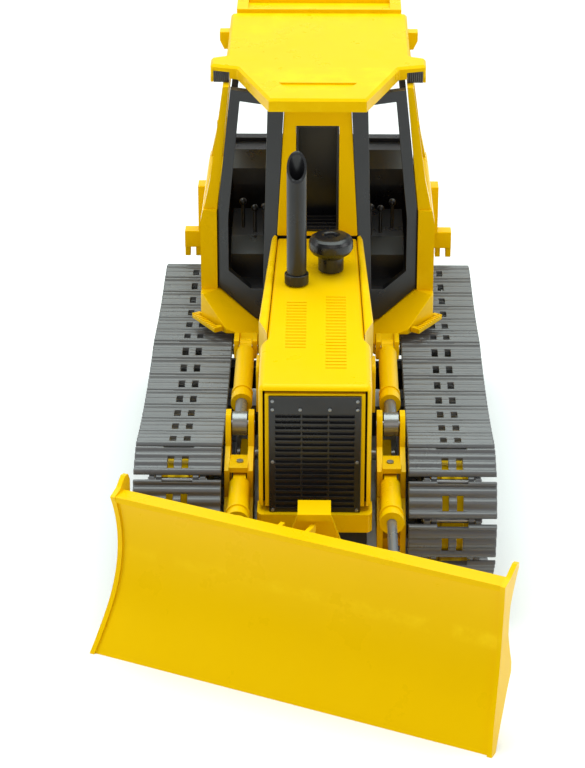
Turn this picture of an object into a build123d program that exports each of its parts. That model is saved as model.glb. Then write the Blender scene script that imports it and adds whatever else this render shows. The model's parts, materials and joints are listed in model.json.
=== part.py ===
from build123d import *
import math
import os

# Toy bulldozer, 1:16 class. Millimetres, +Z up, ground at Z = 0, front of the machine toward -Y.
# Everything is drawn about the machine's own centre plane X = 0 and moved once, at the export,
# so that the origin is the middle of the whole outline. The blade stands angled, so that
# outline is not centred on the machine.
SHIFT_X = 7.66
SHIFT_Y = -30.68

# ---- driving dimensions -------------------------------------------------------------------
TRACK_X = 62.5            # middle of a track from the centre plane
SHOE_WIDTH = 40.0
LINK_COUNT = 36
PIN_INSET = 5.0           # track pin below the outer face of the shoes
SPROCKET_Y = 191.0
SPROCKET_Z = 38.0
SPROCKET_BELT_R = 33.0    # pin circle round the sprocket
IDLER_Y = -30.0
IDLER_Z = 46.5
IDLER_BELT_R = 28.0       # pin circle round the idler
CARRIER_Y = 93.0
CARRIER_CREST = 71.8      # height of the pins over the carrier roller
FRONT_ROLLER_Y = 22.0     # where the lower run turns up to the idler
SAG_FRONT = 4.2
SAG_REAR = 2.6

HOOD_HALF = 25.3
HOOD_FRONT_Y = -58.0
HOOD_NECK_Y = -11.0       # the wide radiator part ends here
HOOD_REAR_Y = 98.0
HOOD_SLOPE = 3.2
HOOD_FRONT_TOP = 121.2
HOOD_FLOOR = 62.0
WALL = 2.0

CAB_SIDE_X = 59.0
CAB_FRONT_Y = 111.0
CAB_REAR_Y = 200.0
SILL_Z = 97.0
WAIST_Z = 140.0
ROOF_UNDER = 204.0
ROOF_TILT = 3.0

BEAM_Y = (84.0, 140.0)    # cross beams that carry the track frames

LIFT_PIVOT_Y = 62.0       # push frame on the chassis
LIFT_PIVOT_Z = 28.0
ARM_X = 34.5
LIFT_CYL_X = 35.2
LIFT_CYL_REAR_Y = 75.0
LIFT_CYL_REAR_Z = 81.0
KNUCKLE_Y = -10.0
KNUCKLE_Z = 80.0

YAW_Y = -97.5             # vertical pivot of the blade
BLADE_YAW = 24.75         # the blade rests angled, its +X end forward
BLADE_LENGTH = 195.0
BLADE_HEIGHT = 72.4
BLADE_REACH = 29.8        # cutting edge ahead of the pivot
BLADE_DEPTH = 20.0        # hollow of the mouldboard
BLADE_SHEET = 3.2
ANGLE_CYL_X = 34.6
ANGLE_CYL_Y = -30.0
ANGLE_CYL_Z = 62.0
ANGLE_ROD = 45.4          # rod from the lug to its inner end
BLADE_LUG_T = 38.0        # lug of the angle cylinder along the blade, level with the pivot

RUN = 0.06                # radial clearance of a shaft that turns in a hole
OPEN_PIVOT = 0.9          # radial clearance of a pivot where a linkage is opened

os.makedirs("parts", exist_ok=True)
nodes = {}


# ---- small helpers ------------------------------------------------------------------------
def block(x0, x1, y0, y1, z0, z1):
    """Box between two corners."""
    size = (abs(x1 - x0), abs(y1 - y0), abs(z1 - z0))
    middle = ((x0 + x1) / 2, (y0 + y1) / 2, (z0 + z1) / 2)
    return Pos(*middle) * Box(*size)


def prism_x(points_yz, x0, x1):
    """Outline in the YZ plane, extruded from x0 to x1."""
    wire = Polyline([(x0, y, z) for y, z in points_yz], close=True)
    return extrude(make_face(wire), amount=abs(x1 - x0), dir=(math.copysign(1, x1 - x0), 0, 0))


def prism_y(points_xz, y0, y1):
    """Outline in the XZ plane, extruded from y0 to y1."""
    wire = Polyline([(x, y0, z) for x, z in points_xz], close=True)
    return extrude(make_face(wire), amount=abs(y1 - y0), dir=(0, math.copysign(1, y1 - y0), 0))


def prism_z(points_xy, z0, z1):
    """Outline in the XY plane, extruded from z0 to z1."""
    wire = Polyline([(x, y, z0) for x, y in points_xy], close=True)
    return extrude(make_face(wire), amount=abs(z1 - z0), dir=(0, 0, math.copysign(1, z1 - z0)))


def rod_x(radius, x0, x1, y, z):
    """Cylinder along X."""
    return Pos((x0 + x1) / 2, y, z) * Rot(0, 90, 0) * Cylinder(radius, abs(x1 - x0))


def rod_y(radius, y0, y1, x, z):
    """Cylinder along Y."""
    return Pos(x, (y0 + y1) / 2, z) * Rot(90, 0, 0) * Cylinder(radius, abs(y1 - y0))


def rod_z(radius, z0, z1, x, y):
    """Cylinder along Z."""
    return Pos(x, y, (z0 + z1) / 2) * Cylinder(radius, abs(z1 - z0))


def mirrored(shape):
    """The same piece on the other side of the machine."""
    return mirror(shape, about=Plane.YZ)


def add(name, *shapes):
    """Register the solids of one node."""
    solids = []
    for shape in shapes:
        solids.extend(shape.solids())
    nodes[name] = solids


def add_pair(name, *shapes):
    """A node on the +X side, and its mirror image on the -X side."""
    add(name + "_right", *shapes)
    add(name + "_left", *[mirrored(shape) for shape in shapes])


def add_both(name, *shapes):
    """One node that groups the alike fixed pieces of both sides."""
    add(name, *shapes, *[mirrored(shape) for shape in shapes])


# ---- tracks -------------------------------------------------------------------------------
def sagging(y0, z0, y1, z1, sag, steps=24):
    """Points of a run of belt that hangs between two supports."""
    points = []
    for i in range(steps):
        u = i / steps
        points.append((y0 + (y1 - y0) * u, z0 + (z1 - z0) * u - 4 * sag * u * (1 - u)))
    return points


def arc_points(cy, cz, radius, start, end, steps=36):
    """Points round a wheel, from one angle to another, in degrees."""
    points = []
    for i in range(steps):
        a = math.radians(start + (end - start) * i / steps)
        points.append((cy + radius * math.cos(a), cz + radius * math.sin(a)))
    return points


def belt_path():
    """Closed line of the track pins, seen from the side."""
    ground = PIN_INSET
    dy = IDLER_Y - FRONT_ROLLER_Y
    dz = IDLER_Z - ground
    ramp = math.degrees(math.atan2(dz, dy) + math.asin(IDLER_BELT_R / math.hypot(dy, dz)))
    points = sagging(IDLER_Y, IDLER_Z + IDLER_BELT_R, CARRIER_Y, CARRIER_CREST, SAG_FRONT)
    points += sagging(CARRIER_Y, CARRIER_CREST, SPROCKET_Y, SPROCKET_Z + SPROCKET_BELT_R, SAG_REAR)
    points += arc_points(SPROCKET_Y, SPROCKET_Z, SPROCKET_BELT_R, 90, -90)
    points.append((SPROCKET_Y, ground))
    points.append((FRONT_ROLLER_Y, ground))
    points += arc_points(IDLER_Y, IDLER_Z, IDLER_BELT_R, ramp + 90, 90)
    return points


class ClosedPath:
    """A closed polyline that can be walked by its length."""

    def __init__(self, points):
        self.points = points + [points[0]]
        self.lengths = [0.0]
        for a, b in zip(self.points, self.points[1:]):
            self.lengths.append(self.lengths[-1] + math.dist(a, b))
        self.total = self.lengths[-1]

    def at(self, s):
        s = s % self.total
        i = 0
        while self.lengths[i + 1] < s:
            i += 1
        u = (s - self.lengths[i]) / (self.lengths[i + 1] - self.lengths[i])
        a, b = self.points[i], self.points[i + 1]
        return (a[0] + (b[0] - a[0]) * u, a[1] + (b[1] - a[1]) * u)

    def next_at(self, s, pitch):
        """The place further on whose straight distance is one pitch."""
        low, high = s + pitch * 0.98, s + pitch * 1.25
        here = self.at(s)
        for _ in range(40):
            middle = (low + high) / 2
            if math.dist(here, self.at(middle)) < pitch:
                low = middle
            else:
                high = middle
        return (low + high) / 2

    def walk(self, pitch, count):
        places = [0.0]
        for _ in range(count):
            places.append(self.next_at(places[-1], pitch))
        return places


def even_pitch(path, count):
    """The pitch with which a whole number of equal links closes the belt."""
    low, high = path.total / count * 0.95, path.total / count
    for _ in range(40):
        middle = (low + high) / 2
        if path.walk(middle, count)[-1] < path.total:
            low = middle
        else:
            high = middle
    return (low + high) / 2


def track_link(pitch):
    """One link: local Y runs to the next pin, local Z points out of the belt."""
    half = SHOE_WIDTH / 2
    gap = 0.5
    top = PIN_INSET
    link = block(-half, half, gap, pitch - gap, top - 2.2, top)
    for part in (0.19, 0.30, 0.55, 0.82):
        link -= block(-half - 1, half + 1, pitch * part - 0.3, pitch * part + 0.3, top - 0.7, top + 1)
    link -= block(-7, 7, pitch - gap - 0.9, pitch, top - 3, top + 1)
    for side in (-1, 1):
        link -= block(side * 1.9, side * 4.6, pitch * 0.23, pitch * 0.59, top - 3, top + 1)
        inner = block(side * 7, side * 9.8, -1.6, 6, 0, top - 2)
        inner += rod_x(2.4, side * 7, side * 9.8, 0, 0)
        outer = block(side * 10.2, side * 13, pitch - 6, pitch + 1.6, 0, top - 2)
        outer += rod_x(2.4, side * 10.2, side * 13, pitch, 0)
        inner -= block(side * 6, side * 14, -4, gap + 0.4, 2.2, top)
        outer -= block(side * 6, side * 14, pitch - gap - 0.4, pitch + 4, 2.2, top)
        link += inner + outer
    link -= rod_x(1.2 + RUN, -14, 14, 0, 0)
    link -= rod_x(1.2 + RUN, -14, 14, pitch, 0)
    return link


path = ClosedPath(belt_path())
link_pitch = even_pitch(path, LINK_COUNT)
one_link = track_link(link_pitch)
one_pin = rod_x(1.2, -13.4, 13.4, 0, 0)
places = path.walk(link_pitch, LINK_COUNT)
links = []
pins = []
for here, there in zip(places, places[1:]):
    y0, z0 = path.at(here)
    y1, z1 = path.at(there)
    turn = math.degrees(math.atan2(z1 - z0, y1 - y0))
    links.append(Pos(TRACK_X, y0, z0) * Rot(turn, 0, 0) * one_link)
    pins.append(Pos(TRACK_X, y0, z0) * Rot(turn, 0, 0) * one_pin)
add_pair("track_links", *links)
add_both("track_pins", *pins)


# ---- wheels and track frames --------------------------------------------------------------
def sprocket():
    """Drive wheel with teeth that stay under the pins."""
    y, z = SPROCKET_Y, SPROCKET_Z
    teeth = 12
    root_r, tip_r = 26.0, 30.8
    wheel = rod_x(root_r, TRACK_X - 5, TRACK_X + 5, y, z)
    tooth_shape = [(-2.6, root_r - 2), (2.6, root_r - 2), (1.1, tip_r), (-1.1, tip_r)]
    tooth = prism_x(tooth_shape, TRACK_X - 4, TRACK_X + 4)
    for i in range(teeth):
        wheel += Pos(0, y, z) * Rot(360 / teeth * i, 0, 0) * tooth
    wheel += rod_x(9, TRACK_X - 10.4, TRACK_X + 10.4, y, z)
    dish = rod_x(21, TRACK_X + 2, TRACK_X + 6, y, z) - rod_x(11, TRACK_X + 1, TRACK_X + 7, y, z)
    wheel -= dish
    wheel -= Pos(-8, 0, 0) * dish
    for i in range(6):
        a = math.radians(60 * i)
        wheel -= rod_x(3, TRACK_X - 6, TRACK_X + 6, y + 16 * math.cos(a), z + 16 * math.sin(a))
    wheel -= rod_x(3 + RUN, TRACK_X - 12, TRACK_X + 12, y, z)
    return wheel


def idler():
    """Plain front wheel with a middle flange."""
    y, z = IDLER_Y, IDLER_Z
    wheel = rod_x(24.4, TRACK_X - 9.5, TRACK_X + 9.5, y, z)
    wheel += rod_x(26.2, TRACK_X - 5, TRACK_X + 5, y, z)
    dish = rod_x(20, TRACK_X + 3, TRACK_X + 10, y, z) - rod_x(8, TRACK_X + 2, TRACK_X + 11, y, z)
    wheel -= dish
    wheel -= Pos(-13, 0, 0) * dish
    wheel -= rod_x(2.5 + RUN, TRACK_X - 12, TRACK_X + 12, y, z)
    return wheel


add_pair("drive_sprocket", sprocket())
add_pair("front_idler", idler())

sprocket_pin = rod_x(3, 20, TRACK_X + 13, SPROCKET_Y, SPROCKET_Z)
idler_pin = rod_x(2.5, TRACK_X - 13, TRACK_X + 13, IDLER_Y, IDLER_Z)
add_both("wheel_axles", sprocket_pin, idler_pin)

road_y = [30 + 26 * i for i in range(6)]
road = []
for y in road_y:
    tread = rod_x(6, TRACK_X - 7.5, TRACK_X + 7.5, y, 13.6)
    waist = rod_x(7, TRACK_X - 3, TRACK_X + 3, y, 13.6) - rod_x(5, TRACK_X - 3, TRACK_X + 3, y, 13.6)
    road.append(tread - waist - rod_x(1.5, TRACK_X - 9, TRACK_X + 9, y, 13.6))
add_both("road_rollers", *road)

road_pins = [rod_x(1.5, TRACK_X - 10, TRACK_X + 10, y, 13.6) for y in road_y]
carrier_z = CARRIER_CREST - 2.4 - 5.5 - 0.5
carrier = rod_x(5.5, TRACK_X - 9, TRACK_X + 9, CARRIER_Y, carrier_z)
carrier -= rod_x(1.5, TRACK_X - 12, TRACK_X + 12, CARRIER_Y, carrier_z)
add_both("carrier_rollers", carrier)
road_pins.append(rod_x(1.5, TRACK_X - 12, TRACK_X + 12, CARRIER_Y, carrier_z))
add_both("roller_pins", *road_pins)


def track_frame():
    """Beam between the runs of a track, forked round both wheels."""
    x0, x1 = TRACK_X - 10, TRACK_X + 10
    frame = prism_x([(4, 24), (12, 20.8), (156, 20.8), (156, 50), (140, 54), (14, 54), (4, 46)], x0, x1)
    for side in (-1, 1):
        outer, inner = TRACK_X + side * 13, TRACK_X + side * 10.8
        plate = prism_x([(-38, 42), (-38, 52), (-30, 56), (20, 54), (20, 30), (-24, 38)], inner, outer)
        plate += prism_x([(140, 28), (140, 54), (196, 45), (199, 38), (196, 31)], inner, outer)
        skirt = block(TRACK_X + side * 8.2, TRACK_X + side * 10, 22, 168, 11, 24)
        ear = block(TRACK_X + side * 9.4, TRACK_X + side * 12, CARRIER_Y - 4, CARRIER_Y + 4, 50, carrier_z + 3.5)
        web_front = block(inner - side * 1.2, outer, 4, 20, 34, 50)
        web_rear = block(inner - side * 1.2, outer, 140, 156, 34, 50)
        frame += plate + skirt + ear + web_front + web_rear
    for y in road_y:
        frame -= rod_x(1.5, x0 - 5, x1 + 5, y, 13.6)
    frame -= rod_x(1.5, x0 - 5, x1 + 5, CARRIER_Y, carrier_z)
    frame -= rod_x(2.5, x0 - 5, x1 + 5, IDLER_Y, IDLER_Z)
    frame -= rod_x(3, x0 - 5, x1 + 5, SPROCKET_Y, SPROCKET_Z)
    frame -= rod_x(7.6, TRACK_X - 9.2, TRACK_X + 9.2, CARRIER_Y, carrier_z)
    for y in BEAM_Y:
        frame -= block(20, x0 + 4, y - 5, y + 5, 30, 42)
    return frame


add_both("track_frames", track_frame())

# ---- chassis ------------------------------------------------------------------------------
tub = block(-24, 24, -48, 204, 16, 61)
tub -= block(-22, 22, -46, 202, 18, 62)
tub -= prism_x([(-60, 10), (-60, 30), (-49, 30), (-30, 10)], -30, 30)
tub += prism_x([(-48, 30), (-28.5, 16), (-26, 16), (-26, 18), (-46, 32.5), (-48, 32.5)], -24, 24)
for bulkhead in (-10, 50, 100):
    tub += block(-22.5, 22.5, bulkhead, bulkhead + 2, 17.5, 58)
tub -= rod_x(3, 19, 25, SPROCKET_Y, SPROCKET_Z)
tub -= rod_x(3, -25, -19, SPROCKET_Y, SPROCKET_Z)
tub -= rod_x(3, -30, 30, LIFT_PIVOT_Y, LIFT_PIVOT_Z)

beams = [block(-(TRACK_X - 6), TRACK_X - 6, y - 5, y + 5, 30, 42) for y in BEAM_Y]
for beam in beams:
    tub -= beam
add("chassis_tub", tub)
add("cross_beams", *beams)


# ---- hood ---------------------------------------------------------------------------------
def hood_top(y):
    """Height of the hood's top over a place along the machine."""
    return HOOD_FRONT_TOP + (y - HOOD_FRONT_Y) * math.tan(math.radians(HOOD_SLOPE))


def hood_body(inset, round_edges):
    """The hood's outer form, or its hollow when inset."""
    half = HOOD_HALF - inset
    front = HOOD_FRONT_Y - (5 if inset else 0)
    rear = HOOD_REAR_Y + (5 if inset else 0)
    neck = 22.3 - inset
    tail = 19.8 - inset
    right = [(half, front), (half, HOOD_NECK_Y - 5), (neck, HOOD_NECK_Y), (tail, rear)]
    plan = right + [(-x, y) for x, y in reversed(right)]
    slope = math.tan(math.radians(HOOD_SLOPE))
    side = [
        (front, HOOD_FLOOR - inset * 3),
        (front, HOOD_FRONT_TOP - inset + (front - HOOD_FRONT_Y) * slope),
        (rear, HOOD_FRONT_TOP - inset + (rear - HOOD_FRONT_Y) * slope),
        (rear, HOOD_FLOOR - inset * 3),
    ]
    body = prism_z(plan, 50, 140) & prism_x(side, -40, 40)
    if round_edges:
        top_edges = body.edges().filter_by(lambda e: e.center().Z > HOOD_FRONT_TOP - 0.6)
        front_edge = top_edges.filter_by(lambda e: e.center().Y < HOOD_FRONT_Y + 0.1)
        body = fillet(front_edge, 3.4)
        corners = body.edges().filter_by(Axis.Z).filter_by(lambda e: e.center().Y < HOOD_FRONT_Y + 0.1)
        body = fillet(corners, 3)
        top_edges = body.edges().filter_by(lambda e: e.center().Z > HOOD_FRONT_TOP and abs(e.center().X) > 10)
        body = fillet(top_edges, 1.5)
    return body


GRILLE_HALF = 20.6
GRILLE_LOW = 59.5
GRILLE_HIGH = 117.0
hood = hood_body(0, True) - hood_body(WALL, False)
hood += block(-HOOD_HALF + 3, HOOD_HALF - 3, HOOD_FRONT_Y, HOOD_FRONT_Y + 3, HOOD_FLOOR, HOOD_FRONT_TOP - 3.4)
hood -= block(-GRILLE_HALF, GRILLE_HALF, HOOD_FRONT_Y - 1, HOOD_FRONT_Y + 4, HOOD_FLOOR - 3, GRILLE_HIGH)
for side in (-1, 1):
    front, rear, count = (-20, 26, 16) if side < 0 else (-40, 32, 24)
    for i in range(count):
        y = front + (rear - front) * i / (count - 1)
        hood -= block(side * 4.5, side * 14, y, y + 0.8, hood_top(y) - 0.35, hood_top(y) + 3)
EXHAUST_X, EXHAUST_Y = -9.6, 47.0
PRECLEAN_X, PRECLEAN_Y = 6.8, 62.0
hood -= rod_z(3.4, 100, 150, EXHAUST_X, EXHAUST_Y)
hood -= rod_z(4.4, 100, 150, PRECLEAN_X, PRECLEAN_Y)
add("hood_shell", hood)


def hood_rail():
    """Raised rail along the tapered part of the hood, with a pointed front end."""
    plan = [(22.5, -9), (26.6, 4), (22.7, 94), (21.4, HOOD_REAR_Y), (19.95, HOOD_REAR_Y), (22.3, 0)]
    slope = math.tan(math.radians(HOOD_SLOPE))
    low = 18.0
    top_front = hood_top(-9) + 1.8
    top_rear = hood_top(HOOD_REAR_Y) + 1.8
    side = [(-9, top_front), (HOOD_REAR_Y, top_rear), (HOOD_REAR_Y, top_rear - low), (-9, top_front - low)]
    rail = prism_z(plan, 80, 140) & prism_x(side, 10, 40)
    rim = rail.edges().filter_by(lambda e: e.center().Z > 124 and e.length > 40)
    return fillet(rim, 1.2)


add_both("hood_rails", hood_rail())

# grille: black panel with a header strip and three columns of slats
grille_front = HOOD_FRONT_Y - 1.2
grille = block(-GRILLE_HALF + 0.1, GRILLE_HALF - 0.1, grille_front, HOOD_FRONT_Y + 1.6, GRILLE_LOW, GRILLE_HIGH - 0.1)
slat_rows = 17
slat_low, slat_high = 62.0, 109.5
slat_step = (slat_high - slat_low) / slat_rows
for row in range(slat_rows):
    z = slat_low + slat_step * row
    for column in range(3):
        x = -17.6 + 12.0 * column
        grille -= block(x, x + 11.2, grille_front - 1, grille_front + 1.4, z, z + slat_step * 0.55)
add("grille_panel", grille)

screw_places = [(sx * 18.9, z) for sx in (-1, 1) for z in (115.0, 110.9, 85.0, 60.8)]
screw_places += [(-6.6, 110.9), (6.6, 110.9)]
screws = []
for x, z in screw_places:
    head = rod_y(0.75, grille_front - 0.7, grille_front, x, z)
    screws.append(head)
add("grille_screws", *screws)

lip_plan = [(-24.6, -61.5), (-26, -59), (-26, -48.1), (26, -48.1), (26, -59), (24.6, -61.5)]
lip = prism_z(lip_plan, 50.5, 59.4)
lip -= block(-22, 22, -59, -48, 49, 57)
lip = fillet(lip.edges().filter_by(Axis.Z).filter_by(lambda e: e.center().Y < -58.5), 1.2)
add("radiator_lip", lip)

# exhaust stack with a slanted open mouth, and its collar
mouth_z = 186.0
stack = rod_z(4.75, 116, mouth_z + 10, EXHAUST_X, EXHAUST_Y)
above = Box(40, 60, 40, align=(Align.CENTER, Align.CENTER, Align.MIN))
mouth = Pos(EXHAUST_X, EXHAUST_Y, mouth_z) * Rot(54, 0, 0) * above
stack -= rod_z(3.7, 130, mouth_z + 12, EXHAUST_X, EXHAUST_Y)
stack -= mouth
stack_base = hood_top(EXHAUST_Y)
stack -= block(-40, 40, EXHAUST_Y - 20, EXHAUST_Y + 20, 100, stack_base + 0.6)
spigot = rod_z(3.35, 117, stack_base + 2, EXHAUST_X, EXHAUST_Y)
spigot -= rod_z(2.2, 116, stack_base + 3, EXHAUST_X, EXHAUST_Y)
stack += spigot
add("exhaust_stack", stack)
collar = rod_z(5.8, stack_base + 0.5, stack_base + 5.5, EXHAUST_X, EXHAUST_Y)
collar -= rod_z(4.78, stack_base - 3, stack_base + 9, EXHAUST_X, EXHAUST_Y)
add("exhaust_collar", collar)

# mushroom-shaped air precleaner
neck_base = hood_top(PRECLEAN_Y) + 0.5
neck = rod_z(6.2, neck_base, neck_base + 7, PRECLEAN_X, PRECLEAN_Y)
neck += rod_z(4.3, neck_base - 6, neck_base + 1, PRECLEAN_X, PRECLEAN_Y)
neck -= rod_z(2.8, neck_base - 8, neck_base + 8, PRECLEAN_X, PRECLEAN_Y)
add("precleaner_neck", neck)
bowl_base = neck_base + 7
bowl_rim = [(0, 0), (6.6, 0), (7.6, 1.2), (9.4, 2.2), (10.7, 4.4), (10.7, 7.6), (9.9, 9.4), (8.2, 10.5), (4.4, 11.1)]
bowl_rim += [(3.5, 10.6), (3.2, 9.2), (1.7, 9.2), (1.7, 10.2), (0, 10.2)]
bowl_line = Polyline([(PRECLEAN_X + r, PRECLEAN_Y, bowl_base + z) for r, z in bowl_rim], close=True)
bowl = revolve(make_face(bowl_line), Axis((PRECLEAN_X, PRECLEAN_Y, 0), (0, 0, 1)))
add("precleaner_bowl", bowl)


# ---- cab ----------------------------------------------------------------------------------
def cab_base():
    """Yellow base with fenders that slope down from the cab's corners."""
    inner = prism_z([(26.8, 96), (29, 91), (41.6, 91), (41.6, CAB_REAR_Y), (26.8, CAB_REAR_Y)], 70, 120)
    outer = prism_z([(41, 91), (46, 91), (CAB_SIDE_X, 106), (CAB_SIDE_X, CAB_REAR_Y), (41, CAB_REAR_Y)], 81.2, 120)
    body = inner + outer
    band_point = (30.5, 103, 82.6)
    band_normal = Vector(-0.40, -0.42, 0.815)
    over = Plane(origin=band_point, z_dir=band_normal) * Box(300, 300, 120, align=(Align.CENTER, Align.CENTER, Align.MIN))
    body -= over
    body -= block(20, 80, 60, 220, SILL_Z, 140)
    hollow = prism_z([(28.8, 105), (39.6, 105), (39.6, 198), (28.8, 198)], 60, 82)
    body -= hollow
    return body


def front_plane_y(x):
    """The front corner windows stand in a plane that runs back as it goes out."""
    return 98.5 + (x - 19.5) * 0.44


def on_front_plane(points_xz, back, front):
    """A plate in that slanting plane, between two depths behind it."""
    wire = Polyline([(x, front_plane_y(x) + front, z) for x, z in points_xz], close=True)
    return extrude(make_face(wire), amount=back - front, dir=(0, 1, 0))


frame_outline = [(16.3, 203.9), (20.2, 131), (21.9, 84), (30.5, 83.6), (50.5, 98.4), (50.3, 138), (43.0, 203.9)]
frame_opening = [(24.6, 198.5), (26.6, 131), (27.4, 101), (33.5, 100), (44.8, 108), (44.8, 136), (38.4, 198.5)]
corner_frame = on_front_plane(frame_outline, 5.0, 0) - on_front_plane(frame_opening, 8, -2)
corner_frame -= block(20, 60, 80, 130, 60, 84.2)
add_both("corner_window_frames", corner_frame)

base_half = cab_base() - corner_frame
link_plate = block(-27, 27, 112, CAB_REAR_Y, 70, 76)
base = base_half + mirrored(base_half) + link_plate
add("cab_base", base)

# yellow middle panel of the windscreen, with a black liner in its narrow window
panel_half = [(20.0, 131.5), (16.1, 203.9)]
panel_outline = panel_half + [(-x, z) for x, z in reversed(panel_half)]
panel = prism_y(panel_outline, 98.2, 104)
panel -= block(-10.6, 10.6, 90, 110, 133.5, 189)
add("windscreen_panel", panel)
liner = block(-10.5, 10.5, 98.8, 118, 133.6, 188.9) - block(-9.4, 9.4, 90, 116.6, 134.8, 187.8)
for i in range(4):
    liner += block(-9.6, 9.6, 108.5 - 2.6 * i, 109.5 - 2.6 * i, 134.6, 138.2 - 0.8 * i)
add("windscreen_liner", liner)


def cab_side():
    """Yellow side of the cab: upright to the waist, then leaning in to the roof."""
    y0, y1 = CAB_FRONT_Y, CAB_REAR_Y
    lower = prism_y([(50.7, SILL_Z), (CAB_SIDE_X, SILL_Z), (CAB_SIDE_X, 133), (57.6, WAIST_Z), (50.6, WAIST_Z)], y0, y1)
    upper_line = [(50.6, WAIST_Z - 1), (57.4, WAIST_Z - 1), (53.9, 155), (46.9, ROOF_UNDER), (43.9, ROOF_UNDER)]
    upper = prism_y(upper_line, y0 + 1.5, y1)
    side = lower + upper
    side = side - block(40, 57.2, y0 + 8, y1 - 8, SILL_Z + 3, 136)
    side -= prism_x([(y0 + 12, 142), (y0 + 13, 197), (y1 - 14, 197), (y1 - 14, 142)], 40, 64)
    door_cut = block(CAB_SIDE_X - 0.4, 64, y0 + 13, y1 - 16, 102, 131)
    side -= door_cut
    for z in (151, 183):
        nub = 54.9 - (z - WAIST_Z) * 0.13
        side += block(nub - 3.2, nub + 0.6, y0 + 2, y0 + 5, z, z + 3)
    return side


add_both("cab_sides", cab_side())

# rear wall with the rear window
rear = prism_y([(-50.4, 76.2), (50.4, 76.2), (50.4, 138), (43.0, 203.9), (-43.0, 203.9), (-50.4, 138)], 193, 199.8)
rear -= prism_y([(-46.0, 150), (46.0, 150), (39.8, 199), (-39.8, 199)], 190, 203)
rear -= block(-60, -26.6, 190, 203, 60, SILL_Z + 0.1)
rear -= block(26.6, 60, 190, 203, 60, SILL_Z + 0.1)
add("cab_rear_wall", rear)

floor_plan = [(-50.3, 118), (-26, 106), (26, 106), (50.3, 118), (50.3, 192.8), (-50.3, 192.8)]
floor = prism_z(floor_plan, SILL_Z + 0.1, SILL_Z + 2.2)
floor -= block(-26.4, 26.4, 90, 110, 90, 110)

# seat, consoles, levers
seat = block(-13, 13, 140, 164, 104, 112)
seat += prism_x([(158, 108), (166, 108), (172, 146), (166, 147)], -12.5, 12.5)
seat += block(-9, 9, 144, 160, SILL_Z + 2.2, 105)
seat = fillet(seat.edges().filter_by(Axis.X).filter_by(lambda e: e.center().Z > 110), 1.5)
add("operator_seat", seat)

console = prism_x([(122, SILL_Z + 2.2), (122, 112), (130, 119), (164, 121), (164, SILL_Z + 2.2)], 22, 44)
console -= block(24, 42, 168, 120, 80, 98)
shelf = prism_x([(170, 132), (192.8, 132), (192.8, 148), (180, 148), (170, 141)], -44.5, 44.5)
shelf -= block(-14, 14, 160, 178, 130, 150)
dash = block(-19, 19, 119, 127, SILL_Z + 2.2, 130)
dash = fillet(dash.edges().filter_by(Axis.X).filter_by(lambda e: e.center().Z > 129), 2)
plinth = block(-44.5, 44.5, 180, 192.8, SILL_Z + 1, 133)
interior = floor + console + mirrored(console) + shelf + plinth + dash
interior = interior - corner_frame - mirrored(corner_frame)
add("cab_interior", interior)


lever_solids = []
for x, y, tall in ((27, 128, 13), (32, 129, 11), (38, 131, 12)):
    foot = 113.5 + (y - 122) * 0.9
    stick = rod_z(0.9, foot + 2, foot + tall + 4, x, y)
    knob = Pos(x, y, foot + tall + 4) * Sphere(1.9)
    lever_solids.append(stick + knob)
lever_solids = [Pos(0, 0, -0.4) * s for s in lever_solids]
trimmed = []
for stick in lever_solids:
    for part in (stick, mirrored(stick)):
        trimmed.append(part - interior)
add("control_levers", *trimmed)


# ---- roof ---------------------------------------------------------------------------------
def roof():
    """Canopy that tilts up a little to the rear, with lamp housings at its front corners."""
    right = [(23.4, 74), (39.8, 117), (53.2, 120.5), (53.2, 131), (45.6, 134), (45.6, 197)]
    plan = right + [(-x, y) for x, y in reversed(right)]
    slab = prism_z(plan, 0, 6.5)
    slab = fillet(slab.edges().filter_by(Axis.Z).filter_by(lambda e: e.center().Y > 76), 1.5)
    slab = chamfer(slab.faces().sort_by(Axis.Z)[-1].edges(), 1.2)
    recess = prism_z([(-19, 96), (19, 96), (13.5, 86), (-13.5, 86)], 5.6, 8)
    slab -= recess
    slab -= prism_z([(-42, 132), (42, 132), (42, 192), (-42, 192)], -1, 1.8)
    lip = block(-42.8, 42.8, 197, 216, 1.5, 8.5) + block(-42.8, 42.8, 195, 199, 1.5, 6.5)
    lip = fillet(lip.edges().filter_by(Axis.Z).filter_by(lambda e: e.center().Y > 210), 3)
    lip -= block(-37, 37, 199, 213, 6.6, 10)
    slab += lip
    for side in (-1, 1):
        slab += block(side * 46.0, side * 53.2, 120.6, 131, -2.6, 1)
        slab -= block(side * 43.7, side * 51.8, 118, 122.0, -4, 3.4)
        slab += block(side * 44.8, side * 51.8, 123.2, 130, -2.6, 1)
    return Pos(0, 74, 204.2) * Rot(ROOF_TILT, 0, 0) * Pos(0, -74, 0) * slab


canopy = roof()
add("roof_canopy", canopy)

lenses = []
for side in (-1, 1):
    lens = block(side * 43.9, side * 51.6, 119.2, 121.9, -2.4, 3.3)
    for i in range(7):
        x = side * (44.6 + 1.0 * i)
        lens -= block(x, x + side * 0.45, 118, 119.7, -4, 4)
    lenses.append(Pos(0, 74, 204.2) * Rot(ROOF_TILT, 0, 0) * Pos(0, -74, 0) * lens)
add("roof_lamp_lenses", *[lens - canopy for lens in lenses])

ear = prism_y([(45.4, 213.5), (50.8, 213.5), (50.8, 209), (48.6, 204.4), (45.4, 204.4)], 174, 181)
add_both("roof_ears", ear - canopy)


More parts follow.
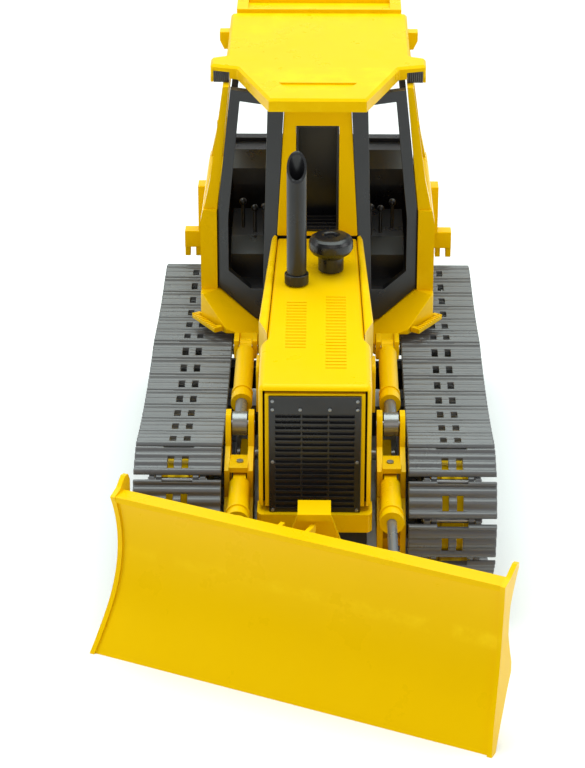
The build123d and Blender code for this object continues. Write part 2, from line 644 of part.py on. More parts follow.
# ---- fittings at the cab ------------------------------------------------------------------
def side_step():
    """Ribbed grab step along the slanting corner of a fender."""
    start = (59.6, 109.6)
    end = (47.2, 90.4)
    length = math.dist(start, end)
    turn = math.degrees(math.atan2(end[1] - start[1], end[0] - start[0]))
    bar = block(-1, length - 1, 1.6, 4.4, 0, 2.6)
    ribs = int(length // 2)
    for i in range(ribs):
        bar -= block(2 * i, 2 * i + 0.8, 1, 5, 2.0, 4)
    bar += block(-1, 1.6, -0.4, 2, 0, 2.6)
    bar += block(length - 3.6, length - 1, -0.4, 2, 0, 2.6)
    return Pos(start[0], start[1], 82.4) * Rot(0, 0, turn) * bar


add_both("fender_steps", side_step() - base)

bracket = block(59.1, 64.6, 194, 204, 95, 122)
bracket += block(59.1, 72.2, 196, 204, 86, 95.5)
for x0, x1 in ((63.6, 66.4), (69.2, 72.2)):
    bracket += block(x0, x1, 197, 203, 80.6, 87)
add_both("rear_clips", bracket)

tank = prism_x([(204.2, 62), (204.2, 124), (212, 130), (222, 122), (224, 70), (216, 62)], -40, 40)
tank_form = tank
tank -= prism_x([(206.2, 60), (206.2, 123), (212, 127.6), (220.2, 120.6), (222, 71), (215, 64), (215, 60)], -38, 38)
tank += block(-40, 40, 200.2, 206, 78, 118)
tank -= block(-22.2, 22.2, 190, 204.1, 50, 77)
add("rear_tank", tank)
filler = rod_z(5, 125, 133, 26, 212) - rod_z(3.6, 120, 131.5, 26, 212)
add("tank_filler_cap", filler - tank_form)

hitch = block(-9, 9, 202.2, 206, 26, 46)
hitch += block(-7, 7, 205, 222, 27, 31)
hitch += block(-7, 7, 205, 222, 41, 45)
hitch -= rod_z(2.6, 20, 50, 0, 216)
hitch -= block(-10, 10, 200, 204.05, 20, 50)
add("rear_hitch", hitch)
drawbar_pin = rod_z(2.54, 25.5, 47.5, 0, 216) + rod_z(4, 47.5, 49.5, 0, 216)
add("hitch_pin", drawbar_pin)


# ---- lift cylinders -----------------------------------------------------------------------
def between(shape, y0, z0, y1, z1, x):
    """Place a shape drawn along -Y from the origin onto the line between two pivots."""
    turn = math.degrees(math.atan2(z0 - z1, y0 - y1))
    return Pos(x, y0, z0) * Rot(turn, 0, 0) * shape


LIFT_LENGTH = math.hypot(LIFT_CYL_REAR_Y - KNUCKLE_Y, LIFT_CYL_REAR_Z - KNUCKLE_Z)


def lift_barrel():
    """Yellow barrel: rear eye at the origin, open end toward -Y."""
    tube = rod_y(4.5, -64, -7.6, 0, 0)
    tube += rod_y(5.1, -64, -58, 0, 0) + rod_y(5.1, -54.5, -52.5, 0, 0)
    eye = rod_x(4.3, -3, 3, 0, 0) + block(-3, 3, -9, 0, -3.4, 3.4)
    tube += eye
    tube -= rod_y(2.8 + RUN, -65, -8, 0, 0)
    tube -= rod_x(1.6 + RUN, -4, 4, 0, 0)
    return tube


def lift_rod():
    """Grey rod with a round knuckle, drawn from the same origin."""
    rod = rod_y(2.8, -LIFT_LENGTH + 4, -30, 0, 0)
    knuckle = rod_x(5.6, -3.4, 3.4, -LIFT_LENGTH, 0)
    rod += knuckle
    rod -= rod_x(1.6 + OPEN_PIVOT, -5, 5, -LIFT_LENGTH, 0)
    return rod


lift_line = (LIFT_CYL_REAR_Y, LIFT_CYL_REAR_Z, KNUCKLE_Y, KNUCKLE_Z, LIFT_CYL_X)
add_pair("lift_cylinder_barrel", between(lift_barrel(), *lift_line))
add_pair("lift_cylinder_rod", between(lift_rod(), *lift_line))

clevis = None
for x0, x1 in ((29.4, 31.9), (38.5, 41.0)):
    cheek = prism_x([(69.6, 77), (70.4, 86.4), (80, 86.4), (90.8, 82), (90.8, 76), (72, 76)], x0, x1)
    clevis = cheek if clevis is None else clevis + cheek
clevis += block(29.4, 41.0, 82.5, 90.8, 76, 82)
clevis -= rod_x(1.6, 28, 43, LIFT_CYL_REAR_Y, LIFT_CYL_REAR_Z)
add_both("lift_clevises", clevis)
clevis_pin = rod_x(1.6, 29.2, 41.4, LIFT_CYL_REAR_Y, LIFT_CYL_REAR_Z)
pivot_pin = rod_x(3, 20, 39.5, LIFT_PIVOT_Y, LIFT_PIVOT_Z)
add_both("chassis_pivot_pins", clevis_pin, pivot_pin)

guide = block(25.4, 28.1, 6, 22, 78, 102) - rod_x(3, 20, 34, 14, 94)
guide = fillet(guide.edges().filter_by(Axis.X).filter_by(lambda e: e.center().Z > 101), 4)
add_both("hood_side_brackets", guide)


# ---- push frame ---------------------------------------------------------------------------
def push_frame():
    """C-shaped frame: two arms, a front beam and the eye that carries the blade."""
    arm = prism_x([(69, 24), (72, 28), (69, 33), (62, 34), (-44, 34), (-52, 24)], ARM_X - 3.2, ARM_X + 3.2)
    arm += prism_z([(ARM_X - 3.2, -40), (ARM_X + 3.2, -40), (ARM_X + 3.2, -74), (ARM_X - 4, -84), (ARM_X - 12, -84)], 24, 34)
    frame = arm + mirrored(arm)
    frame += block(-32, 32, -84, -74, 24, 34)
    nose = prism_z([(-14, -76), (14, -76), (6.4, -97.5), (-6.4, -97.5)], 28.4, 37.6)
    nose += rod_z(6.6, 28.4, 37.6, 0, YAW_Y)
    frame += nose
    frame -= rod_z(3 + RUN, 20, 50, 0, YAW_Y)
    for side in (-1, 1):
        frame -= rod_x(3 + RUN, side * 28, side * 42, LIFT_PIVOT_Y, LIFT_PIVOT_Z)
    return frame


frame = push_frame()
add("push_frame", frame)


def lift_lever():
    """Pair of upright plates on the push frame, from the arm up to the knuckle."""
    outline = [(-4, 83), (-7, 86), (-13, 86), (-16.5, 83), (-20, 73), (-36.5, 68.5), (-36.5, 55)]
    outline += [(-50, 48), (-52, 34.05), (-16, 34.05), (-9, 56)]
    lever = prism_x(outline, 28.5, 31.2) + prism_x(outline, 39.2, 41.7)
    lever += block(30.8, 39.6, -44, -20, 34.05, 38)
    lever += block(30.8, 39.6, -37, -23, 52.0, 56.2)
    lever += block(30.8, 39.6, -36.5, -23, 67.6, 70.2)
    lever -= rod_x(1.6, 27, 43, KNUCKLE_Y, KNUCKLE_Z)
    lever -= rod_z(1.6, 50, 73, ANGLE_CYL_X, ANGLE_CYL_Y)
    return lever


add_both("lift_levers", lift_lever())
knuckle_pin = rod_x(1.6, 28.3, 41.9, KNUCKLE_Y, KNUCKLE_Z)
angle_pin = rod_z(1.6, 51.6, 70.8, ANGLE_CYL_X, ANGLE_CYL_Y)
add_both("lever_pins", knuckle_pin, angle_pin)

# upright bracket over the nose of the push frame
tower = block(-6.5, 6.5, -88, -84.05, 24, 74)
tower += block(-7.3, 7.3, -92.6, -78.8, 72.8, 76)
for x in (-6.5, 4):
    tower += prism_x([(-84.2, 40), (-84.2, 73), (-78.8, 73)], x, x + 2.5)
tower += prism_y([(6.4, 73), (7.3, 73), (12.6, 58), (12.6, 40), (6.4, 40)], -88, -85.5)
tower += prism_y([(-6.4, 73), (-7.3, 73), (-12.6, 58), (-12.6, 40), (-6.4, 40)], -88, -85.5)
tower -= block(-14, 14, -100, -84.05, 24, 41)
add("centre_tower", tower - frame)

# ---- blade --------------------------------------------------------------------------------
# Local frame of the blade: X along it, -Y ahead, origin at the yaw pivot, then turned.
KNEE = (12.5, 21.0)       # the hollow is straight up to here, then round
HOLLOW = (BLADE_DEPTH, 46.0)
CREST = (17.4, BLADE_HEIGHT)
END_LOW = 97.5            # half length at the cutting edge
END_WAIST = (92.6, 46.0)
END_TOP = (94.9, 79.0)
END_SHEET = 2.3


def blade_place(shape):
    """From the blade's own frame to the machine: angled about the pivot."""
    return Pos(0, YAW_Y, 0) * Rot(0, 0, -BLADE_YAW) * shape


def hollow_line(x, back):
    """The hollow of the mouldboard from the cutting edge up, moved back by an amount."""
    y0 = back - BLADE_REACH
    foot = (x, y0, 0)
    knee = (x, y0 + KNEE[0], KNEE[1])
    middle = (x, y0 + HOLLOW[0], HOLLOW[1])
    crest = (x, y0 + CREST[0], CREST[1])
    return Line(foot, knee), ThreePointArc(knee, middle, crest)


def solid_along_x(curves, x0, x1):
    """Extrude a closed set of curves that lie at x0."""
    return extrude(make_face(curves), amount=x1 - x0, dir=(1, 0, 0))


def blade_front_outline(inset):
    """Outline of the blade seen from ahead, a little narrower in the middle, as a solid."""
    y0, y1 = -60, 40
    low = END_LOW - inset
    right = ThreePointArc((low, y0, 0), (END_WAIST[0] - inset, y0, END_WAIST[1]), (END_TOP[0] - inset, y0, END_TOP[1]))
    left = ThreePointArc((-low, y0, 0), (inset - END_WAIST[0], y0, END_WAIST[1]), (inset - END_TOP[0], y0, END_TOP[1]))
    foot = Line(left @ 0, right @ 0)
    top = Line(right @ 1, left @ 1)
    return extrude(make_face([foot, right, top, left]), amount=y1 - y0, dir=(0, 1, 0))


def mouldboard():
    """Curved sheet with a deeper top lip."""
    x = -END_LOW
    front = hollow_line(x, 0)
    back = hollow_line(x, BLADE_SHEET)
    top = Line(front[1] @ 1, back[1] @ 1)
    foot = Line(back[0] @ 0, front[0] @ 0)
    sheet = solid_along_x([*front, top, *back, foot], x, -x)
    lip_y = CREST[0] - BLADE_REACH
    lip_line = [(lip_y - 0.6, CREST[1] - 2.6), (lip_y - 0.6, CREST[1] + 0.2), (lip_y + 7.6, CREST[1] + 0.2)]
    sheet += prism_x(lip_line + [(lip_y + 7.6, CREST[1] - 3.4)], x, -x)
    return sheet & blade_front_outline(END_SHEET)


def end_plates():
    """End plates: they lead the hollow a little and run back to a rounded ear at the top."""
    x = -END_LOW
    lead = 1.2
    front = hollow_line(x, -lead)
    rear_line = [(16.2, 72.6), (22, 74.4), (27.5, 78.2), (30.2, 77.8), (31, 75), (28.8, 66), (26.8, 58), (26.6, 44)]
    rear_line += [(30.0, 29), (29.2, 25), (17, 12.6), (3.4, 0), (-lead, 0)]
    rear = Polyline([(x, s - BLADE_REACH, z) for s, z in rear_line])
    plates = solid_along_x([*front, Line(front[1] @ 1, rear @ 0), rear], x, -x)
    return plates & (blade_front_outline(0) - blade_front_outline(END_SHEET))


def room_ahead():
    """All the space ahead of the mouldboard's back face."""
    x = -END_LOW
    back = hollow_line(x, BLADE_SHEET)
    low, high = (x, -70, 0), (x, -70, CREST[1])
    return solid_along_x([*back, Line(back[1] @ 1, high), Line(high, low), Line(low, back[0] @ 0)], x, -x)


def blade_carrier():
    """Two eyes for the pivot pin, joined by a block on the blade's back."""
    carrier = None
    for z0, z1 in ((23.4, 28.1), (37.9, 42.6)):
        eye = prism_z([(-20, -19), (20, -19), (6.6, 0), (-6.6, 0)], z0, z1) + rod_z(6.6, z0, z1, 0, 0)
        carrier = eye if carrier is None else carrier + eye
    carrier += block(-20, 20, -19, -8.6, 23.4, 42.6)
    carrier -= rod_z(3, 10, 60, 0, 0)
    return carrier


def blade_gussets():
    """Two upright gussets on the blade's back, beside the tower."""
    gussets = []
    for x, rear in ((-15.5, 1), (-2.5, 5)):
        gussets.append(prism_x([(-19, 50), (-19, 69), (-6, 71), (rear, 71), (rear, 68), (-4, 50)], x - 1, x + 1))
    return gussets


def blade_lugs():
    """Forked lugs for the angle cylinders."""
    lugs = []
    for side in (-1, 1):
        t = side * BLADE_LUG_T
        lug = None
        for z0, z1 in ((56.4, 58.6), (65.4, 67.6)):
            tab = block(t - 4, t + 4, -19, 0, z0, z1) + rod_z(4, z0, z1, t, 0)
            lug = tab if lug is None else lug + tab
        lugs.append(lug - rod_z(1.5, 50, 75, t, 0))
    return lugs


sheet = mouldboard()
ahead = room_ahead()
blade = sheet + end_plates()
for piece in blade_lugs() + blade_gussets():
    blade += piece - ahead
add("blade", blade_place(blade))
add("blade_carrier", blade_place(blade_carrier() - ahead))
lug_pins = [rod_z(1.5, 55.6, 68.4, side * BLADE_LUG_T, 0) for side in (-1, 1)]
add("blade_lug_pins", *[blade_place(pin) for pin in lug_pins])
yaw_pin = rod_z(3, 22.4, 43.6, 0, YAW_Y) + rod_z(4.6, 43.6, 45.6, 0, YAW_Y)
add("blade_pivot_pin", yaw_pin)


# ---- angle cylinders ----------------------------------------------------------------------
def lug_place(side):
    """Where the blade's lug stands at rest."""
    a = math.radians(-BLADE_YAW)
    t = side * BLADE_LUG_T
    return (t * math.cos(a), YAW_Y + t * math.sin(a))


def angle_cylinder(side):
    """Barrel and rod between a lift lever and a blade lug."""
    x0, y0 = side * ANGLE_CYL_X, ANGLE_CYL_Y
    x1, y1 = lug_place(side)
    length = math.hypot(x1 - x0, y1 - y0)
    turn = math.degrees(math.atan2(x1 - x0, -(y1 - y0)))
    barrel = rod_y(4.8, -44, -8.2, 0, 0) + rod_y(5.5, -44, -40.6, 0, 0) + rod_y(5.5, -37, -35.4, 0, 0)
    barrel += rod_z(3.2, -5.4, 5.2, 0, 0) + block(-2.9, 2.9, -10, 0, -4.4, 4.4)
    barrel -= rod_y(2.25 + RUN, -50, -4.8, 0, 0)
    barrel -= rod_z(1.6 + RUN, -8, 8, 0, 0)
    rod = rod_y(2.25, -length + 3.6, -length + ANGLE_ROD, 0, 0)
    rod += block(-5.9, 5.9, -length - 2.9, -length + 4.3, -2.6, 2.6)
    slot_half = 1.5 + 2.9
    rod -= block(-slot_half, slot_half, -length - 2.4, -length + 2.4, -4, 4)
    place = Pos(x0, y0, ANGLE_CYL_Z) * Rot(0, 0, turn)
    return place * barrel, place * rod


for side, label in ((1, "right"), (-1, "left")):
    barrel, rod = angle_cylinder(side)
    add("angle_cylinder_barrel_" + label, barrel)
    add("angle_cylinder_rod_" + label, rod)

# ---- export -------------------------------------------------------------------------------
shift = Pos(SHIFT_X, SHIFT_Y, 0)
for name, solids in nodes.items():
    moved = [shift * solid for solid in solids]
    shape = moved[0] if len(moved) == 1 else Compound(children=moved)
    export_step(shape, os.path.join("parts", name + ".step"))
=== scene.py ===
import json
import math

import bmesh
import bpy
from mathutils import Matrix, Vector


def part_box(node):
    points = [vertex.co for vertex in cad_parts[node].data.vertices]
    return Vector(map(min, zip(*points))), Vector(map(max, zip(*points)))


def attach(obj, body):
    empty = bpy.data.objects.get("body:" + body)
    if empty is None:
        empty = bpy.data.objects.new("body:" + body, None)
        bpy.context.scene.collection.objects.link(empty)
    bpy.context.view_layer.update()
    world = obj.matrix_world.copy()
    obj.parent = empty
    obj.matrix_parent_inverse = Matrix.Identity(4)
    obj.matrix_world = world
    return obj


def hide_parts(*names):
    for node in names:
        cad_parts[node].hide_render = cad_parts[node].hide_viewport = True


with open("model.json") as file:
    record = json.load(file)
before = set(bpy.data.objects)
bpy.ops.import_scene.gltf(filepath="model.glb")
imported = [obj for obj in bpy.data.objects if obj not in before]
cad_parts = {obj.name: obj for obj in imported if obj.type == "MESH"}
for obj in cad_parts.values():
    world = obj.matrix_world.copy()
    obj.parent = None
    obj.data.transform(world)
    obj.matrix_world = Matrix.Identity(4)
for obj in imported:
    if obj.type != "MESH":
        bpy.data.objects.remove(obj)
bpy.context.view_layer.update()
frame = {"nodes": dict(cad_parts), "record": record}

MM = 0.001

# ---- the machine's own frame -----------------------------------------------------------------
# The middle plane is the hood's. Lengths along the machine are counted from the hood's front,
# which stands 58 mm ahead of the zero line of the design.
hood_low, hood_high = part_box("hood_shell")
HOOD_FRONT = -58.0
MACHINE_X = (hood_low[0] + hood_high[0]) / 2
MACHINE_Y = hood_low[1] - HOOD_FRONT * MM


def at(x, y, z):
    """A place of the machine, in millimetres from its middle plane, as a scene point."""
    return Vector((MACHINE_X + x * MM, MACHINE_Y + y * MM, z * MM))


# ---- materials -------------------------------------------------------------------------------
def new_material(name, base, roughness, coat=0.0, metallic=0.0, specular=0.5):
    """Principled material with its node tree, ready for detail."""
    material = bpy.data.materials.new(name)
    material.use_nodes = True
    shader = material.node_tree.nodes["Principled BSDF"]
    shader.inputs["Base Color"].default_value = (*base, 1.0)
    shader.inputs["Roughness"].default_value = roughness
    shader.inputs["Metallic"].default_value = metallic
    shader.inputs["Specular IOR Level"].default_value = specular
    shader.inputs["Coat Weight"].default_value = coat
    shader.inputs["Coat Roughness"].default_value = 0.08
    return material


def noise(tree, vector, scale, detail=3.0, roughness=0.5):
    node = tree.nodes.new("ShaderNodeTexNoise")
    node.inputs["Scale"].default_value = scale
    node.inputs["Detail"].default_value = detail
    node.inputs["Roughness"].default_value = roughness
    tree.links.new(vector, node.inputs["Vector"])
    return node.outputs["Fac"]


def ramp(tree, value, low, high, first=0.0, last=1.0):
    node = tree.nodes.new("ShaderNodeMapRange")
    node.inputs["From Min"].default_value = low
    node.inputs["From Max"].default_value = high
    node.inputs["To Min"].default_value = first
    node.inputs["To Max"].default_value = last
    tree.links.new(value, node.inputs["Value"])
    return node.outputs["Result"]


def blend_colour(tree, factor, first, second):
    node = tree.nodes.new("ShaderNodeMix")
    node.data_type = "RGBA"
    tree.links.new(factor, node.inputs["Factor"])
    for socket, value in ((node.inputs[6], first), (node.inputs[7], second)):
        if isinstance(value, tuple):
            socket.default_value = (*value, 1.0)
        else:
            tree.links.new(value, socket)
    return node.outputs[2]


def moulded(name, base, dark, worn, roughness, grain_depth, coat=0.0, grain_scale=2600.0):
    """Moulded plastic: flow-like colour drift, worn edges, fine grain in roughness and bump."""
    material = new_material(name, base, roughness, coat)
    tree = material.node_tree
    shader = tree.nodes["Principled BSDF"]
    place = tree.nodes.new("ShaderNodeTexCoord").outputs["Object"]
    drift = ramp(tree, noise(tree, place, 14.0, 4.0), 0.35, 0.7)
    speck = ramp(tree, noise(tree, place, 420.0, 2.0), 0.56, 0.72)
    edge = tree.nodes.new("ShaderNodeNewGeometry").outputs["Pointiness"]
    wear = ramp(tree, edge, 0.56, 0.68)
    patchy = ramp(tree, noise(tree, place, 90.0, 5.0, 0.65), 0.45, 0.68)
    times = tree.nodes.new("ShaderNodeMath")
    times.operation = "MULTIPLY"
    tree.links.new(wear, times.inputs[0])
    tree.links.new(patchy, times.inputs[1])
    body = blend_colour(tree, drift, base, dark)
    body = blend_colour(tree, ramp(tree, speck, 0.0, 1.0, 0.0, 0.25), body, dark)
    body = blend_colour(tree, times.outputs[0], body, worn)
    tree.links.new(body, shader.inputs["Base Color"])
    smear = noise(tree, place, 45.0, 6.0, 0.6)
    gloss = ramp(tree, smear, 0.3, 0.7, roughness * 0.82, roughness * 1.25)
    tree.links.new(gloss, shader.inputs["Roughness"])
    grain = noise(tree, place, grain_scale, 2.0)
    bump = tree.nodes.new("ShaderNodeBump")
    bump.inputs["Strength"].default_value = 0.35
    bump.inputs["Distance"].default_value = grain_depth * MM
    tree.links.new(grain, bump.inputs["Height"])
    tree.links.new(bump.outputs["Normal"], shader.inputs["Normal"])
    return material


MATERIALS = {
    "yellow_gloss": moulded(
        "yellow_plastic", (0.86, 0.525, 0.0), (0.845, 0.51, 0.0),
        (0.92, 0.60, 0.005), 0.30, 0.02),
    "black_satin": moulded(
        "black_plastic", (0.012, 0.012, 0.014), (0.007, 0.007, 0.008),
        (0.045, 0.045, 0.045), 0.30, 0.04),
    "track_grey": moulded(
        "track_plastic", (0.125, 0.125, 0.13), (0.095, 0.095, 0.10),
        (0.27, 0.27, 0.27), 0.30, 0.05),
    "dark_frame": moulded(
        "frame_plastic", (0.018, 0.018, 0.019), (0.010, 0.010, 0.011),
        (0.06, 0.06, 0.06), 0.5, 0.08),
    "silver_rod": moulded(
        "rod_plastic", (0.27, 0.28, 0.29), (0.21, 0.22, 0.23),
        (0.5, 0.5, 0.51), 0.26, 0.02),
    "lens_grey": moulded(
        "lens_plastic", (0.085, 0.085, 0.09), (0.05, 0.05, 0.055),
        (0.2, 0.2, 0.2), 0.25, 0.02),
    "pin_steel": moulded(
        "pin_metal", (0.36, 0.36, 0.36), (0.28, 0.28, 0.28),
        (0.55, 0.55, 0.55), 0.3, 0.01),
}
for slot, metallic in (("silver_rod", 0.55), ("pin_steel", 0.8), ("track_grey", 0.12)):
    MATERIALS[slot].node_tree.nodes["Principled BSDF"].inputs["Metallic"].default_value = metallic
yellow = MATERIALS["yellow_gloss"].node_tree.nodes["Principled BSDF"]
yellow.inputs["Specular Tint"].default_value = (1.0, 0.72, 0.05, 1.0)
yellow.inputs["Specular IOR Level"].default_value = 0.4

# ---- CAD nodes keep their shape and get rounded edges ------------------------------------------
BEVEL = {"track_grey": 0.25, "yellow_gloss": 0.45, "black_satin": 0.3}      # mm
FINE_BEVEL = 0.2          # mm, on all other materials
BEVEL_ANGLE = 32          # degrees, only sharper edges are rounded
WELD_DISTANCE = 0.00001   # m
slots = {part["node"]: part["material_slot"] for part in frame["record"]["subparts"]}
for name, node in frame["nodes"].items():
    slot = slots[name]
    node.data.materials.clear()
    node.data.materials.append(MATERIALS[slot])
    weld = node.modifiers.new("weld", "WELD")
    weld.merge_threshold = WELD_DISTANCE
    bevel = node.modifiers.new("edges", "BEVEL")
    bevel.width = BEVEL.get(slot, FINE_BEVEL) * MM
    bevel.segments = 2
    bevel.limit_method = "ANGLE"
    bevel.angle_limit = math.radians(BEVEL_ANGLE)
    bevel.harden_normals = False
    node.modifiers.new("normals", "WEIGHTED_NORMAL")

# ---- track shoes with three rounded grousers ---------------------------------------------------
# All in mm, heights counted out of the belt from the line of the pins.
SHOE_HALF = 20.0
SHOE_FLOOR = 2.7
SHOE_TOP = 5.0
VALLEY = 1.25             # depth between two ribs
SIDE_DROP = 0.45          # the outer face falls off at the shoe's two sides
LIP_DROP = 0.3            # and at the lips between two shoes
SHOE_GAP = 0.35           # from the pin line to the shoe's lip
EYE_RADIUS = 2.3
EYE_LENGTH = 6.0
EYE_TOP = 2.9


def loop_of_pins(side):
    """Pin middles of one track in order round the belt, in metres, as (y, z)."""
    node = frame["nodes"]["track_pins"]
    form = bmesh.new()
    form.from_mesh(node.data)
    bmesh.ops.remove_doubles(form, verts=form.verts, dist=WELD_DISTANCE)
    form.verts.ensure_lookup_table()
    left = set(form.verts)
    middles = []
    for seed in form.verts:
        if seed not in left:
            continue
        left.discard(seed)
        group, front = [seed], [seed]
        while front:
            vert = front.pop()
            for edge in vert.link_edges:
                other = edge.other_vert(vert)
                if other in left:
                    left.discard(other)
                    group.append(other)
                    front.append(other)
        points = [node.matrix_world @ v.co for v in group]
        low = [min(p[k] for p in points) for k in range(3)]
        high = [max(p[k] for p in points) for k in range(3)]
        middle = [(a + b) / 2 for a, b in zip(low, high)]
        if (middle[0] - MACHINE_X) * side > 0:
            middles.append(middle)
    form.free()
    track_x = sum(m[0] for m in middles) / len(middles)
    rest = sorted((m[1], m[2]) for m in middles)
    chain = [rest.pop(0)]
    while rest:
        last = chain[-1]
        nearest = min(rest, key=lambda q: (q[0] - last[0]) ** 2 + (q[1] - last[1]) ** 2)
        rest.remove(nearest)
        chain.append(nearest)
    area = 0.0
    for (y0, z0), (y1, z1) in zip(chain, chain[1:] + chain[:1]):
        area += y0 * z1 - y1 * z0
    if area > 0:
        chain.reverse()
    return track_x, chain


def shoe_height(part):
    """Height of a shoe's outer face at a part of its length: three ribs with valleys between."""
    ribs = ((0.10, 0.075), (0.42, 0.10), (0.70, 0.10), (0.93, 0.06))
    lift = max(math.exp(-((part - middle) / wide) ** 4) for middle, wide in ribs)
    return SHOE_TOP - VALLEY * (1 - lift)


def shoe_mesh(pitch):
    """One shoe with its chain eyes: (vertices, faces) in mm, Y to the next pin, Z out of the belt."""
    half = [1.8, 4.8, 7, 13, 19.4, SHOE_HALF]
    xs = [-x for x in reversed(half)] + half
    steps = 26
    parts = [i / steps for i in range(steps + 1)]
    first, last = SHOE_GAP, pitch - SHOE_GAP

    def gone(i, j):
        x = abs(xs[i] + xs[i + 1]) / 2
        part = (parts[j] + parts[j + 1]) / 2
        window = 1.8 < x < 4.8 and 0.20 < part < 0.60
        notch = x < 7 and part > 0.93
        return window or notch

    verts, faces, index = [], [], {}

    def vert(i, j, upper):
        key = (i, j, upper)
        if key not in index:
            y = first + (last - first) * parts[j]
            z = shoe_height(parts[j]) if upper else SHOE_FLOOR
            if upper and abs(xs[i]) == SHOE_HALF:
                z -= SIDE_DROP
            if upper and j in (0, steps):
                z -= LIP_DROP
            index[key] = len(verts)
            verts.append((xs[i], y, z))
        return index[key]

    present = {(i, j) for i in range(len(xs) - 1) for j in range(steps) if not gone(i, j)}
    for i, j in sorted(present):
        faces.append((vert(i, j, 1), vert(i + 1, j, 1), vert(i + 1, j + 1, 1), vert(i, j + 1, 1)))
        faces.append((vert(i, j + 1, 0), vert(i + 1, j + 1, 0), vert(i + 1, j, 0), vert(i, j, 0)))
        sides = (((i, j - 1), (i, j), (i + 1, j)), ((i + 1, j), (i + 1, j), (i + 1, j + 1)),
                 ((i, j + 1), (i + 1, j + 1), (i, j + 1)), ((i - 1, j), (i, j + 1), (i, j)))
        for beyond, a, b in sides:
            if beyond not in present:
                faces.append((vert(*a, 1), vert(*a, 0), vert(*b, 0), vert(*b, 1)))
    for side in (-1, 1):
        for x0, x1, pin_y, way in ((7.1, 9.7, 0.0, 1), (10.3, 12.9, pitch, -1)):
            tip = pin_y + way * EYE_LENGTH
            ring = [(tip, EYE_TOP), (tip, 0.0), (pin_y + way * 2.2, -1.3)]
            for k in range(12):
                a = math.radians(-60 - 16 * k)
                ring.append((pin_y + way * EYE_RADIUS * math.cos(a), EYE_RADIUS * math.sin(a)))
            ring.append((pin_y - way * 1.0, EYE_TOP))
            start = len(verts)
            for x in (side * x0, side * x1):
                verts.extend((x, y, z) for y, z in ring)
            count = len(ring)
            faces.append(tuple(range(start, start + count)))
            faces.append(tuple(range(start + 2 * count - 1, start + count - 1, -1)))
            for k in range(count):
                m = (k + 1) % count
                faces.append((start + k, start + m, start + count + m, start + count + k))
    return verts, faces


def make_track(side, name):
    track_x, chain = loop_of_pins(side)
    form = bmesh.new()
    for (y0, z0), (y1, z1) in zip(chain, chain[1:] + chain[:1]):
        along = Vector((0.0, y1 - y0, z1 - z0))
        pitch = along.length / MM
        along.normalize()
        across = Vector((1.0, 0.0, 0.0))
        out = across.cross(along)
        verts, faces = shoe_mesh(pitch)
        origin = Vector((track_x, y0, z0))
        made = []
        for x, y, z in verts:
            made.append(form.verts.new(origin + across * (x * MM) + along * (y * MM) + out * (z * MM)))
        for face in faces:
            form.faces.new([made[k] for k in face])
    bmesh.ops.recalc_face_normals(form, faces=form.faces)
    mesh = bpy.data.meshes.new("shoes_" + name)
    form.to_mesh(mesh)
    form.free()
    for polygon in mesh.polygons:
        polygon.use_smooth = True
    mesh.materials.append(MATERIALS["track_grey"])
    shoes = bpy.data.objects.new("shoes_" + name, mesh)
    bpy.context.collection.objects.link(shoes)
    edges = shoes.modifiers.new("edges", "BEVEL")
    edges.width = 0.22 * MM
    edges.segments = 2
    edges.limit_method = "ANGLE"
    edges.angle_limit = math.radians(50)
    shoes.modifiers.new("normals", "WEIGHTED_NORMAL")
    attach(shoes, "root")
    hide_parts("track_links_" + name)


make_track(1, "right")
make_track(-1, "left")

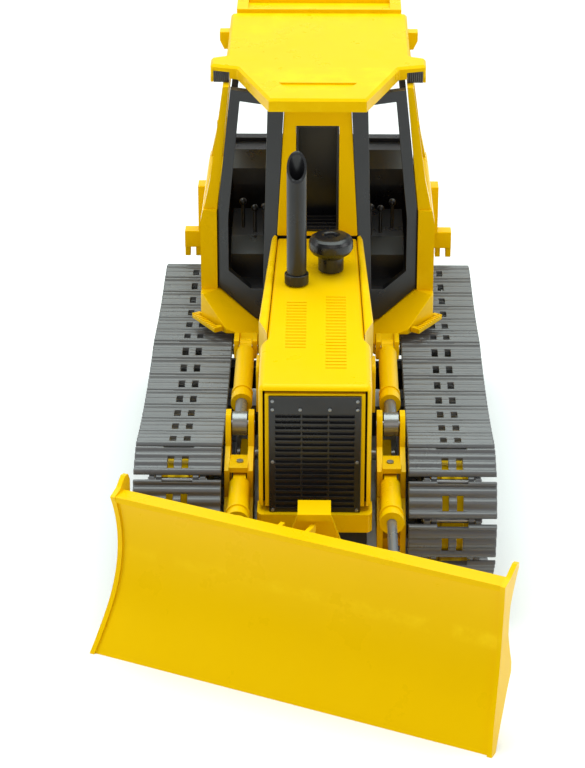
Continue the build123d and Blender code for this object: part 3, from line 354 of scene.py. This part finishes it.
# ---- floor, light, camera ------------------------------------------------------------------
def make_floor():
    """Pale floor that curves up behind the machine."""
    mesh = bpy.data.meshes.new("studio_floor")
    form = bmesh.new()
    half, front, back, rise, radius = 3.0, -3.0, 2.6, 3.0, 1.2
    outline = [(front, 0.0)]
    for i in range(17):
        a = math.radians(90 * i / 16)
        outline.append((back - radius + radius * math.sin(a), radius - radius * math.cos(a)))
    outline.append((back, rise))
    rows = [[form.verts.new((x, y, z)) for y, z in outline] for x in (-half, half)]
    for i in range(len(outline) - 1):
        form.faces.new((rows[0][i], rows[1][i], rows[1][i + 1], rows[0][i + 1])).smooth = True
    form.to_mesh(mesh)
    form.free()
    floor = bpy.data.objects.new("studio_floor", mesh)
    bpy.context.collection.objects.link(floor)
    material = new_material("floor_paper", (0.93, 0.93, 0.93), 0.7, specular=0.2)
    tree = material.node_tree
    place = tree.nodes.new("ShaderNodeTexCoord").outputs["Object"]
    grain = noise(tree, place, 900.0, 3.0)
    tone = blend_colour(tree, ramp(tree, grain, 0.3, 0.7), (0.93, 0.93, 0.93), (0.91, 0.91, 0.91))
    tree.links.new(tone, tree.nodes["Principled BSDF"].inputs["Base Color"])
    mesh.materials.append(material)


def area_light(name, place, target, size, power, colour=(1, 1, 1)):
    light = bpy.data.lights.new(name, "AREA")
    light.shape = "RECTANGLE"
    light.size, light.size_y = size
    light.energy = power
    light.color = colour
    lamp = bpy.data.objects.new(name, light)
    lamp.location = place
    lamp.rotation_euler = (Vector(target) - Vector(place)).to_track_quat("-Z", "Y").to_euler()
    bpy.context.collection.objects.link(lamp)


make_floor()
centre = at(0, 30, 60)
top, front = centre + Vector((0.0, 0.25, 1.35)), centre + Vector((0.3, -1.9, 0.95))
area_light("top_softbox", top, centre, (1.6, 1.5), 29.0, (0.88, 1.0, 0.96))
area_light("front_fill", front, centre, (1.4, 1.0), 3.4, (1.0, 0.92, 0.90))
area_light("left_strip", centre + Vector((-1.5, -0.3, 0.7)), centre, (0.9, 1.1), 6.6)
area_light("right_strip", centre + Vector((1.5, -0.3, 0.7)), centre, (0.9, 1.1), 6.6)

world = bpy.data.worlds.new("studio")
world.use_nodes = True
world.node_tree.nodes["Background"].inputs["Color"].default_value = (1.0, 1.0, 1.0, 1.0)
world.node_tree.nodes["Background"].inputs["Strength"].default_value = 0.36
bpy.context.scene.world = world
bpy.context.scene.view_settings.view_transform = "Standard"

CAMERA_PITCH = 25.0       # degrees below the horizon
CAMERA_YAW = 0.865          # a touch to the left of the machine's own line
camera_data = bpy.data.cameras.new("camera")
camera_data.sensor_width = 36.0
camera_data.lens = 112.5
camera_data.clip_end = 20.0
camera = bpy.data.objects.new("camera", camera_data)
camera.location = at(4.5, -1017.0, 570.0)
camera.rotation_euler = (math.radians(90 - CAMERA_PITCH), 0.0, math.radians(CAMERA_YAW))
bpy.context.collection.objects.link(camera)
bpy.context.scene.camera = camera
